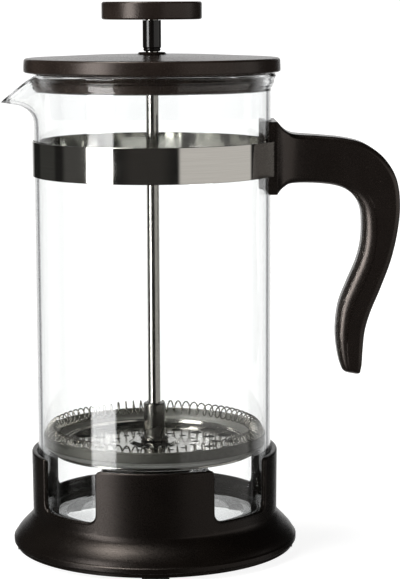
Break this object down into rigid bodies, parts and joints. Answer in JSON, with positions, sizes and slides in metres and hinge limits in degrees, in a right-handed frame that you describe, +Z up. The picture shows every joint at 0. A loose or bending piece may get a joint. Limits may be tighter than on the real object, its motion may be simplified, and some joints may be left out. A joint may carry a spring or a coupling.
{
  "type": "french press",
  "caption": "Free-standing glass coffee press with a black plastic base, handle and lid, a steel strap, and a sliding plunger with a sprung filter.",
  "frame": {"origin": "centre of the whole object's footprint, on the surface it stands on", "axes": "+Z up along the plunger rod, +X towards the handle, -X towards the spout"},
  "size_m": [0.1583, 0.1146, 0.22],
  "materials": {
    "beaker_glass": "clear polished",
    "base_plastic": "fine grain",
    "handle_plastic": "fine grain",
    "lid_plastic": "fine grain",
    "knob_plastic": "fine grain",
    "stem_plastic": "polished",
    "guide_plastic": "smooth",
    "foot_rubber": "matte",
    "strap_steel": "mirror polished stainless",
    "screw_steel": "plain",
    "rod_steel": "ground and polished",
    "plate_steel": "polished pressing",
    "spring_steel": "drawn wire",
    "mesh_steel": "fine woven wire"
  },
  "bodies": {
    "jug": {"glass_beaker": "beaker_glass", "base_frame": "base_plastic", "foot_pad_right": "foot_rubber", "foot_pad_back": "foot_rubber", "foot_pad_left": "foot_rubber", "foot_pad_front": "foot_rubber", "clamp_strap": "strap_steel", "handle": "handle_plastic", "clamp_screw": "screw_steel", "clamp_nut": "screw_steel"},
    "lid": {"lid_cover": "lid_plastic", "lid_plug": "lid_plastic"},
    "guide": {"rod_guide": "guide_plastic"},
    "plunger": {"knob_cap": "knob_plastic", "knob_stem": "stem_plastic", "plunger_rod": "rod_steel", "rod_hub": "rod_steel", "perforated_plate": "plate_steel", "coil_spring": "spring_steel", "mesh_screen": "mesh_steel", "cross_plate": "plate_steel", "filter_nut": "rod_steel"}
  },
  "joints": [
    {"name": "lid_lift", "type": "slide", "parent": "jug", "child": "lid", "axis": [0, 0, 1], "range_m": [0, 0.16]},
    {"name": "plunger_turn", "type": "hinge", "parent": "lid", "child": "guide", "pos_m": [-0.01922, 0, 0.2], "axis": [0, 0, 1], "continuous": true},
    {"name": "plunger_slide", "type": "slide", "parent": "guide", "child": "plunger", "axis": [0, 0, 1], "range_m": [0, 0.132]}
  ]
}
